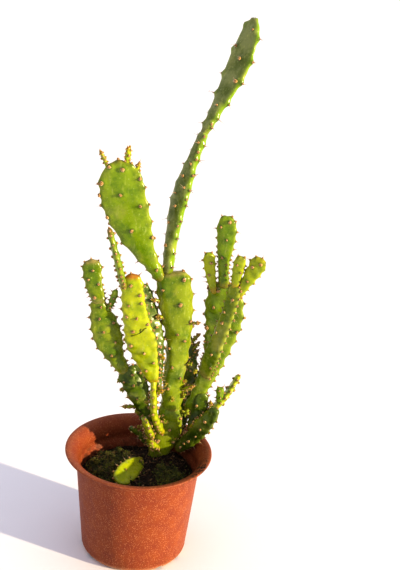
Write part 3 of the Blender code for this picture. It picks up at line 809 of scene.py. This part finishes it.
@dataclass
class Cactus:
    """The whole plant: its pads, buds, areoles, bristles, spines and scars."""

    seed: int = 7
    bristles: int = 9
    leaves: int = 6
    lumps: int = 7
    shapes: list[Pad] = field(default_factory=list)
    grown: list[Areole] = field(default_factory=list)
    buds: list[Pad] = field(default_factory=list)

    def build(self) -> None:
        """Builds every piece of the plant."""
        rng = random.Random(self.seed)
        self.buds = [bud_pad(*bud) for bud in BUDS]
        self.shapes = [*PADS, *self.buds]
        bodies = {pad.name: pad.body() for pad in self.shapes}
        trees = {name: BVHTree.FromBMesh(bm) for name, bm in bodies.items()}
        for pad in self.shapes:
            found = [a for a in pad.areoles(rng) if not self.buried(a, pad, trees)]
            pad.carve(bodies[pad.name], found)
            self.grown.extend(found)
            piece = make_object(pad.name + "_skin", mesh_of(pad.name + "_skin", bodies[pad.name]),
                                pad.skin.value)
            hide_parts(pad.name)
        log.info("plant: %d pads and buds, %d areoles", len(self.shapes), len(self.grown))
        self.dress(rng)

    def buried(self, areole: Areole, pad: Pad, trees: dict[str, BVHTree]) -> bool:
        """Says whether an areole would lie inside another pad."""
        tip = areole.at + areole.out * 0.4
        for name, tree in trees.items():
            if name == pad.name:
                continue
            near, normal, _, distance = tree.find_nearest(tip, SEARCH)
            if near is not None and (tip - near).dot(normal) < 0.0 and distance < BURIED_DEPTH:
                return True
        return False

    def dress(self, rng: random.Random) -> None:
        """Adds the wool, bristles, spines and bud scales over all the pads."""
        wool, bristles, spines = [], [], []
        for areole in self.grown:
            seat = areole.at + areole.out * (areole.lift * 1.7 - areole.sunk + 0.1)
            size = areole.size * rng.uniform(1.0, 1.45) * (0.8 if areole.margin else 1.0)
            wool.append(aimed(seat, areole.out, (size, size * 1.15, size * 0.75), rng.uniform(0, TURN)))
            for _ in range(self.bristles):
                lean = gust(rng).normalized()
                way = (areole.out + lean * 0.85).normalized()
                foot = seat + way * size * 0.35
                bristles.append(aimed(foot, way, (0.085, 0.085, rng.uniform(0.9, 1.9)), 0.0))
            for _ in range(areole.spines):
                lean = gust(rng).normalized()
                way = (areole.out + lean * 0.45).normalized()
                long = rng.uniform(2.5, 6.5) * (1.5 if areole.hairy else 1.0)
                while long > 1.0 and not inside(seat + way * long):
                    long *= 0.8
                spines.append(aimed(seat, way, (0.2, 0.2, long), 0.0))
        fluff = [ball(8, 5, 0.5, seed) for seed in range(4)]
        strew("areole_wool", fluff, wool, WOOL)
        strew("glochid_bristles", [cone(3)], bristles, BRISTLE)
        strew("spines", [cone(4)], spines, SPINE)
        log.info("dress: %d bristles, %d spines", len(bristles), len(spines))
        self.scales(rng)
        self.knobs(rng)
        self.cracks()

    def scales(self, rng: random.Random) -> None:
        """Adds the little pointed leaves that young buds carry."""
        green, dried = [], []
        for bud in self.buds:
            for i in range(self.leaves):
                at = 0.4 + 0.6 * (i / (self.leaves - 1.0))
                turn = i * GOLDEN_TURN + rng.uniform(-0.3, 0.3)
                foot, out = bud.surface(min(at, 0.97), turn), bud.outward(min(at, 0.97), turn)
                way = (out + bud.axes(at)[0] * 0.9).normalized()
                size = rng.uniform(1.2, 1.9) * (1.5 if bud.name == "dried_bud" else 1.0)
                place = aimed(foot - way * 0.4, way, (0.55, 0.35, size), turn)
                (dried if bud.name == "dried_bud" else green).append(place)
        strew("bud_scales", [cone(6)], green, SCALE_LEAF)
        strew("dried_bud_scales", [cone(6)], dried, HUSK)

    def knobs(self, rng: random.Random) -> None:
        """Adds the tight clusters of stunted yellowish buds low on the stems."""
        lumps, points = [], []
        for centre, size in KNOBS:
            for _ in range(self.lumps):
                way = Vector((rng.gauss(0, 1), rng.gauss(0, 1) - 0.7, rng.gauss(0, 1))).normalized()
                at = Vector(centre) + way * size * 0.6
                lumps.append(aimed(at, way, (size * 0.42, size * 0.36, size * 0.62), 0.0))
                for _ in range(3):
                    lean = (way + gust(rng, 0.5)).normalized()
                    points.append(aimed(at + lean * size * 0.3, lean,
                                        (0.22, 0.22, rng.uniform(1.2, 2.4)), 0.0))
        strew("stunted_buds", [ball(8, 6, 0.25, seed) for seed in range(3)], lumps, SCALE_LEAF)
        strew("stunted_bud_bristles", [cone(4)], points, BRISTLE)

    def cracks(self) -> None:
        """Adds the healed cracks across the front pad's face."""
        pad = next(p for p in PADS if p.name == "front_bright_pad")
        lines = (((0.505, 62), (0.515, 84), (0.53, 100), (0.555, 118)),
                 ((0.53, 100), (0.548, 98), (0.56, 104)),
                 ((0.555, 118), (0.56, 132)),
                 ((0.515, 84), (0.53, 74)))
        knots = []
        for line in lines:
            for (a0, t0), (a1, t1) in zip(line, line[1:]):
                for i in range(12):
                    share = i / 12.0
                    at, turn = a0 + (a1 - a0) * share, math.radians(t0 + (t1 - t0) * share)
                    foot = pad.surface(at, turn) + pad.outward(at, turn) * -0.12
                    wide = 0.32 + 0.16 * noise.noise(foot * 0.9)
                    knots.append(aimed(foot, pad.outward(at, turn), (wide, wide, 0.3), 0.0))
        strew("healed_cracks", [ball(6, 4, 0.2, 1)], knots, CRACK)


# ---------------------------------------------------------------- pot and filling


@dataclass
class Pot:
    """The moulded nursery pot, turned round its axis, in millimetres."""

    height: float = 100.0
    rim_radius: float = 65.0
    neck_radius: float = 55.0
    foot_radius: float = 47.5
    wall: float = 1.7
    flare: float = 10.0
    corner: float = 7.5
    floor: float = 2.0
    sides: int = 144
    notches: int = 12
    notch_width: float = 9.0
    notch_height: float = 4.5
    notch_turn: float = 3.0
    notch_depth: float = 14.0
    notch_set_in: float = 2.0

    def wall_radius(self, height: float, inset: float = 0.0) -> float:
        """Gives the wall's outer radius at a height below the flare, less an inset."""
        rise = (height - self.corner) / (self.height - self.flare - self.corner)
        return self.foot_radius + (self.neck_radius - self.foot_radius) * rise - inset

    def arc(self, centre: tuple, radius: float, start: float, end: float, steps: int) -> list[tuple]:
        """Lists points of an arc in the section, angles in degrees."""
        turns = [math.radians(start + (end - start) * i / steps) for i in range(steps + 1)]
        return [(centre[0] + radius * math.cos(t), centre[1] + radius * math.sin(t)) for t in turns]

    def section(self) -> list[tuple]:
        """Draws the section: floor, stepped inner wall, rolled lip, outer wall and base."""
        lip = self.wall / 2.0
        flare_z = self.height - lip - self.flare
        middle = self.rim_radius - lip
        corner_r = self.wall_radius(self.corner, self.corner)
        points = [(0.001, self.floor), (20.0, self.floor)]
        points += self.arc((corner_r, self.corner), self.corner - self.floor, -90, 0, 6)
        for height in (30.0, 50.0, 70.0):
            points.append((self.wall_radius(height, self.wall), height))
        # two low steps run round the inner wall above the soil
        for height, step in ((79.0, 0.0), (79.8, -0.55), (84.5, -0.55), (85.3, 0.0)):
            points.append((self.wall_radius(height, self.wall + step), height))
        points += self.arc((middle, flare_z), self.flare + lip, 180, 90, 12)
        points += self.arc((middle, self.height - lip), lip, 60, -60, 6)
        points += self.arc((middle, flare_z), self.flare - lip, 90, 180, 12)
        for height in (80.0, 65.0, 50.0, 35.0, 20.0):
            points.append((self.wall_radius(height), height))
        points += self.arc((corner_r, self.corner), self.corner, 0, -90, 8)
        points += [(20.0, 0.0), (0.001, 0.0)]
        return points

    def rod(self, bm: bmesh.types.BMesh, index: int) -> None:
        """Adds the rod that one drainage notch is cut with."""
        turn = math.radians(-90.0 + self.notch_turn + 360.0 * index / self.notches)
        made = bmesh.ops.create_cone(bm, cap_ends=True, segments=24, depth=self.notch_depth,
                                     radius1=self.notch_width / 2, radius2=self.notch_width / 2)
        for vert in made["verts"]:
            x, y, z = vert.co
            out = self.foot_radius - self.notch_set_in + z
            lift = y * self.notch_height / (self.notch_width / 2)
            vert.co = (out * math.cos(turn) - x * math.sin(turn),
                       out * math.sin(turn) + x * math.cos(turn), lift)

    def build(self) -> None:
        """Spins the section, cuts the notches and marks the soil smear, darkening, scuffs and painted lip
        highlight.
        """
        bm = bmesh.new()
        corners = [bm.verts.new((r, 0.0, z)) for r, z in self.section()]
        edges = [bm.edges.new(pair) for pair in zip(corners, corners[1:])]
        bmesh.ops.spin(bm, geom=corners + edges, cent=(0, 0, 0), axis=(0, 0, 1),
                       angle=math.tau, steps=self.sides, use_merge=True)
        bmesh.ops.remove_doubles(bm, verts=bm.verts, dist=0.01)
        bmesh.ops.recalc_face_normals(bm, faces=bm.faces)
        plain = bpy.data.objects.new("pot_plain", mesh_of("pot_plain", bm))
        cutters = bmesh.new()
        for index in range(self.notches):
            self.rod(cutters, index)
        bmesh.ops.recalc_face_normals(cutters, faces=cutters.faces)
        rods = bpy.data.objects.new("pot_rods", mesh_of("pot_rods", cutters))
        for made in (plain, rods):
            bpy.context.scene.collection.objects.link(made)
        notch = plain.modifiers.new("notches", "BOOLEAN")
        notch.operation, notch.solver, notch.object = "DIFFERENCE", "EXACT", rods
        bpy.context.view_layer.update()
        shaped = plain.evaluated_get(bpy.context.evaluated_depsgraph_get())
        mesh = bpy.data.meshes.new_from_object(shaped)
        for made in (plain, rods):
            bpy.data.objects.remove(made)
        mesh.name = "pot_shell"
        self.mark_smear_and_darkening(mesh)
        piece = make_object("pot_shell", mesh, NurseryPlastic())
        mesh.set_sharp_from_angle(angle=math.radians(50))
        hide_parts("pot")
        log.info("pot: %d faces", len(mesh.polygons))

    def mark_smear_and_darkening(self, mesh: bpy.types.Mesh) -> None:
        """Writes the lip's soil smear, the darkening inside and at the base, the base scuffs and the painted
        lip highlight.
        """
        smear_and_darkening = mesh.attributes.new("smear_and_darkening", "FLOAT", "POINT")
        scuff_and_lip_highlight = mesh.attributes.new("scuff_and_lip_highlight", "FLOAT", "POINT")
        for vert in mesh.vertices:
            where = vert.co / MM
            radius, bearing = math.hypot(where.x, where.y), math.atan2(where.y, where.x)
            # darker inside the pot towards the soil
            inner = radius < self.wall_radius(where.z, self.wall * 0.5) and where.z > 6.0
            value = 0.55 * smooth(90.0, 74.0, where.z) if inner else 0.0
            # soil smeared on the lip's front right
            if where.z > 86.0:
                swing = math.radians(-28.0)
                value = max(value, 0.9 * smooth(0.42, 0.1, abs(bearing - swing)))
            # darker towards the bottom
            value = max(value, 0.3 * smooth(14.0, 2.0, where.z))
            smear_and_darkening.data[vert.index].value = value
            # painted highlight along the top of the lip, and pale scuffs near the base
            scuff_and_lip_highlight.data[vert.index].value = max(0.12 * smooth(98.2, 99.6, where.z), smooth(7.0, 3.0, where.z))


@dataclass
class Filling:
    """Soil, crumbs, fibres, chips and moss in the pot, in millimetres."""

    pot: Pot
    seed: int = 21
    crumbs: int = 2600
    fibres: int = 260
    chips: int = 60
    sprigs: int = 3000
    edge: float = 71.0
    dome: float = 3.0
    heap: float = 8.5
    heap_at: tuple[float, float] = (25.0, 24.0)
    heap_spread: float = 13.0
    foot: float = 8.0
    grid: int = 110

    def reach(self, height: float) -> float:
        """Gives the radius that the filling has at a height."""
        return self.pot.wall_radius(height, self.pot.wall + 0.15)

    def ground(self, x: float, y: float) -> float:
        """Gives the soil's height: a low dome, heaped round the trunk, uneven all over."""
        radius = math.hypot(x, y)
        height = self.edge + self.dome * math.cos(min(radius / self.pot.neck_radius, 1.0) * math.pi / 2.0)
        away = (x - self.heap_at[0]) ** 2 + (y - self.heap_at[1]) ** 2
        height += self.heap * math.exp(-away / (2.0 * self.heap_spread ** 2))
        # bumps about 14, 5 and 2 mm across
        for amount, level, scale in ((1.6, 0.0, 0.07), (1.1, 9.0, 0.21), (0.6, 5.0, 0.55)):
            height += amount * noise.noise(Vector((x, y, level)) * scale)
        return height

    def cover(self, x: float, y: float) -> float:
        """Gives how thick the moss is, from 0 to 1, at a place."""
        left = 1.0 - math.hypot((x + 22.0) / 25.0, (y - 8.0) / 31.0)
        right = 1.0 - math.hypot((x - 30.0) / 17.0, (y + 8.0) / 20.0)
        patchy = 0.35 * noise.noise(Vector((x, y, 3.0)) * 0.11)
        return smooth(0.0, 0.32, max(left, right * 0.75) + patchy)

    def top(self, x: float, y: float) -> float:
        """Gives the height of the moss or the soil, whichever shows."""
        swell = 0.8 + 0.5 * noise.noise(Vector((x, y, 7.0)) * 0.13)
        return self.ground(x, y) + 4.2 * self.cover(x, y) * swell

    def body(self) -> bmesh.types.BMesh:
        """Makes the soil: an uneven round top on a body that tapers to its foot."""
        radius = self.reach(72.0)
        bm = bmesh.new()
        bmesh.ops.create_grid(bm, x_segments=self.grid, y_segments=self.grid, size=1.0)
        for vert in bm.verts:
            u, v = vert.co.x, vert.co.y
            x = u * math.sqrt(1.0 - v * v / 2.0) * radius
            y = v * math.sqrt(1.0 - u * u / 2.0) * radius
            vert.co = (x, y, self.ground(x, y))
        rim = [edge for edge in bm.edges if edge.is_boundary]
        grown = bmesh.ops.extrude_edge_only(bm, edges=rim)["geom"]
        inward = self.reach(self.foot) / radius
        for vert in (item for item in grown if isinstance(item, bmesh.types.BMVert)):
            vert.co = (vert.co.x * inward, vert.co.y * inward, self.foot)
        bmesh.ops.edgeloop_fill(bm, edges=[edge for edge in bm.edges if edge.is_boundary])
        bmesh.ops.recalc_face_normals(bm, faces=bm.faces)
        return bm

    def build(self) -> None:
        """Builds the soil and everything that lies on it."""
        rng = random.Random(self.seed)
        piece = make_object("soil_surface", mesh_of("soil_surface", self.body()), PEAT)
        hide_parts("soil")
        self.litter(rng)
        self.moss("moss_left", Vector((-22.0, 8.0)), Vector((27.0, 33.0)), int(self.sprigs * 0.72), rng)
        self.moss("moss_right", Vector((30.0, -8.0)), Vector((19.0, 22.0)), int(self.sprigs * 0.28), rng)

    def spot(self, rng: random.Random, limit: float) -> tuple[float, float]:
        """Picks an even random place on the soil."""
        radius, bearing = limit * math.sqrt(rng.random()), rng.uniform(0.0, math.tau)
        return radius * math.cos(bearing), radius * math.sin(bearing)

    def litter(self, rng: random.Random) -> None:
        """Scatters crumbs, bark chips and peat fibres over the soil, and a few on the lip."""
        crumbs, chips, fibres = [], [], []
        limit = self.reach(72.0) - 1.5
        for _ in range(self.crumbs):
            x, y = self.spot(rng, limit)
            size = rng.uniform(0.45, 1.0) * (2.0 if rng.random() < 0.12 else 1.0)
            tilt = gust(rng).normalized()
            crumbs.append(aimed(Vector((x, y, self.top(x, y) + 0.2 * size)), tilt,
                                (size, size * rng.uniform(0.6, 1.0), size * rng.uniform(0.5, 0.9)), 0.0))
        crumbs += self.lip_crumbs(rng)
        for _ in range(self.chips):
            x, y = self.spot(rng, limit - 2.0)
            tilt = Vector((rng.gauss(0, 0.4), rng.gauss(0, 0.4), 1.0)).normalized()
            chips.append(aimed(Vector((x, y, self.top(x, y) + 0.6)), tilt,
                               (rng.uniform(1.2, 3.4), rng.uniform(0.7, 1.5), 0.35), rng.uniform(0.0, TURN)))
        for _ in range(self.fibres):
            x, y = self.spot(rng, limit - 3.0)
            tilt = Vector((rng.gauss(0, 1), rng.gauss(0, 1), rng.uniform(0.0, 0.7))).normalized()
            fibres.append(aimed(Vector((x, y, self.top(x, y) + 0.3)), tilt,
                                (0.2, 0.2, rng.uniform(5.0, 13.0)), rng.uniform(0.0, TURN)))
        lumps = [clod(0.7, seed) for seed in range(5)]
        strew("soil_crumbs", lumps, crumbs, CRUMB)
        strew("bark_chips", lumps, chips, BARK)
        strew("peat_fibres", [self.fibre(bend) for bend in (6.0, 11.0)], fibres, FIBRE)
        log.info("litter: %d crumbs, %d chips, %d fibres", len(crumbs), len(chips), len(fibres))

    def lip_crumbs(self, rng: random.Random) -> list[Matrix]:
        """Places specks of soil stuck to the front right of the lip."""
        lip_middle, lip_arc, lip_base = 64.15, 10.85, 89.15
        places = []
        for _ in range(90):
            bearing = math.radians(rng.gauss(-27.0, 9.0))
            radius = rng.uniform(60.0, 64.9)
            lean = (radius - lip_middle) / lip_arc
            height = 99.4
            if radius < lip_middle:
                height = lip_base + lip_arc * math.sqrt(max(0.0, 1.0 - lean * lean))
            size = rng.uniform(0.2, 0.75)
            at = Vector((radius * math.cos(bearing), radius * math.sin(bearing), height))
            places.append(aimed(at, UP, (size, size * 0.8, size * 0.5), 0.0))
        return places

    @staticmethod
    def fibre(bend: float) -> bmesh.types.BMesh:
        """Makes a thin bent strand one unit long, its sides one unit out."""
        bm = bmesh.new()
        bmesh.ops.create_cone(bm, cap_ends=True, segments=4, radius1=1.0, radius2=0.4, depth=1.0)
        bmesh.ops.translate(bm, vec=(0.0, 0.0, 0.5), verts=bm.verts)
        upright = [e for e in bm.edges if abs(e.verts[0].co.z - e.verts[1].co.z) > 0.5]
        bmesh.ops.subdivide_edges(bm, edges=upright, cuts=6, use_grid_fill=True)
        for vert in bm.verts:
            vert.co.x += bend * 1.6 * math.sin(vert.co.z * 2.6)
            vert.co.y += bend * math.sin(vert.co.z * 5.1 + bend)
        bm.verts.index_update()
        return bm

    def moss(self, node: str, centre: Vector, size: Vector, count: int, rng: random.Random) -> None:
        """Grows a cushion of moss: a soft mat with leafy sprigs all over it.

        Args:
            node: the CAD node that it stands for.
            centre: the cushion's middle.
            size: its half widths.
            count: how many sprigs it has.
            rng: the source of its unevenness.
        """
        mat = bmesh.new()
        bmesh.ops.create_uvsphere(mat, u_segments=72, v_segments=40, radius=1.0)
        for vert in mat.verts:
            x, y = centre.x + vert.co.x * size.x, centre.y + vert.co.y * size.y
            limit = self.reach(73.0) - 0.6
            reach = math.hypot(x, y)
            if reach > limit:
                x, y = x * limit / reach, y * limit / reach
            low = self.ground(x, y) - 1.5
            sunk = 0.8 if vert.co.z < 0 else 0.0
            vert.co = (x, y, low + max(0.0, vert.co.z) * (self.top(x, y) - low) - sunk)
        piece = make_object(node + "_mat", mesh_of(node + "_mat", mat), MOSS)
        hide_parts(node)
        places = []
        while len(places) < count:
            x = centre.x + size.x * rng.uniform(-1.0, 1.0)
            y = centre.y + size.y * rng.uniform(-1.0, 1.0)
            if math.hypot(x, y) > self.reach(73.0) - 2.0 or rng.random() > self.cover(x, y) + 0.04:
                continue
            tilt = Vector((rng.gauss(0, 0.45), rng.gauss(0, 0.45), 1.0)).normalized()
            tall = rng.uniform(2.0, 4.6)
            places.append(aimed(Vector((x, y, self.top(x, y) - 1.0)), tilt, (tall, tall, tall),
                                rng.uniform(0, TURN)))
        sprigs = strew(node + "_sprigs", [self.sprig(0), self.sprig(1)], places, MOSS)
        log.info("%s: %d sprigs", node, len(places))

    @staticmethod
    def sprig(kind: int) -> bmesh.types.BMesh:
        """Makes one moss sprig one unit tall: a stem with small leaves up it."""
        bm = bmesh.new()
        leaves = [(Vector((0.0, 0.0, 0.0)), UP, 1.0, 0.06)]
        for i in range(6):
            bearing = i * GOLDEN_TURN + kind
            way = Vector((math.cos(bearing), math.sin(bearing), 0.75)).normalized()
            leaves.append((UP * (0.25 + 0.12 * i), way, 0.42, 0.09))
        for foot, way, tall, wide in leaves:
            place = aimed(foot, way, (wide, wide, tall), 0.0) @ Matrix.Translation((0.0, 0.0, 0.5))
            bmesh.ops.create_cone(bm, cap_ends=True, segments=3, radius1=1.0, radius2=0.0,
                                  depth=1.0, matrix=place)
        bm.verts.index_update()
        return bm


# ---------------------------------------------------------------- studio


@dataclass
class Studio:
    """The pale floor, the lights and the camera, in metres and degrees."""

    floor_half: float = 30.0
    eye: tuple[float, float, float] = (0.0, -0.8552, 0.6114)
    yaw: float = 2.844
    pitch: float = 22.292
    roll: float = 4.624
    lens: float = 70.0
    sun_bearing: float = -26.0
    sun_height: float = 14.0
    sun_power: float = 7.2
    sky_power: float = 1.0
    sun_width: float = 1.6
    sun_colour: str = "#ffefc8"
    sky_colour: str = "#f4f3ff"
    gamma: float = 0.8
    sensor: float = 36.0

    def build(self) -> None:
        """Builds the floor, the light and the camera."""
        self.floor()
        self.light()
        self.camera()

    def floor(self) -> None:
        """Lays the plain pale floor under the pot."""
        bm = bmesh.new()
        bmesh.ops.create_grid(bm, x_segments=1, y_segments=1, size=self.floor_half / MM)
        mesh = mesh_of("floor", bm)
        mesh.materials.append(PAPER.material())
        made = bpy.data.objects.new("floor", mesh)
        bpy.context.scene.collection.objects.link(made)

    def light(self) -> None:
        """Sets a low warm key light from the front right and an even white surround."""
        sun = bpy.data.lights.new("key", "SUN")
        sun.energy = self.sun_power
        sun.color = linear(self.sun_colour)[:3]
        sun.angle = math.radians(self.sun_width)
        lamp = bpy.data.objects.new("key", sun)
        bearing, height = math.radians(self.sun_bearing), math.radians(self.sun_height)
        back = Vector((math.cos(bearing) * math.cos(height), math.sin(bearing) * math.cos(height),
                       math.sin(height)))
        lamp.rotation_mode = "QUATERNION"
        lamp.rotation_quaternion = back.to_track_quat("Z", "Y")
        bpy.context.scene.collection.objects.link(lamp)
        world = bpy.data.worlds.new("surround")
        world.use_nodes = True
        sky = world.node_tree.nodes["Background"]
        sky.inputs["Color"].default_value = linear(self.sky_colour)
        sky.inputs["Strength"].default_value = self.sky_power
        bpy.context.scene.world = world
        bpy.context.scene.view_settings.view_transform = "Standard"
        bpy.context.scene.view_settings.gamma = self.gamma

    def camera(self) -> None:
        """Sets the camera, rolled a little, looking down at the plant."""
        yaw, pitch, roll = (math.radians(a) for a in (self.yaw, self.pitch, self.roll))
        ahead = Vector((math.sin(yaw) * math.cos(pitch), math.cos(yaw) * math.cos(pitch), -math.sin(pitch)))
        right = Vector((math.cos(yaw), -math.sin(yaw), 0.0))
        up = right.cross(ahead)
        rolled_right = right * math.cos(roll) + up * math.sin(roll)
        rolled_up = up * math.cos(roll) - right * math.sin(roll)
        data = bpy.data.cameras.new("camera")
        data.lens, data.sensor_width = self.lens, self.sensor
        made = bpy.data.objects.new("camera", data)
        turn = Matrix((rolled_right, rolled_up, -ahead)).transposed().to_4x4()
        made.matrix_world = Matrix.Translation(self.eye) @ turn
        bpy.context.scene.collection.objects.link(made)
        bpy.context.scene.camera = made


def main() -> None:
    """Builds the pot, its filling, the plant and the studio."""
    logging.basicConfig(level=logging.INFO, format="%(name)s %(message)s")
    pot = Pot()
    pot.build()
    Filling(pot).build()
    Cactus().build()
    Studio().build()


if __name__ == "__main__":
    main()
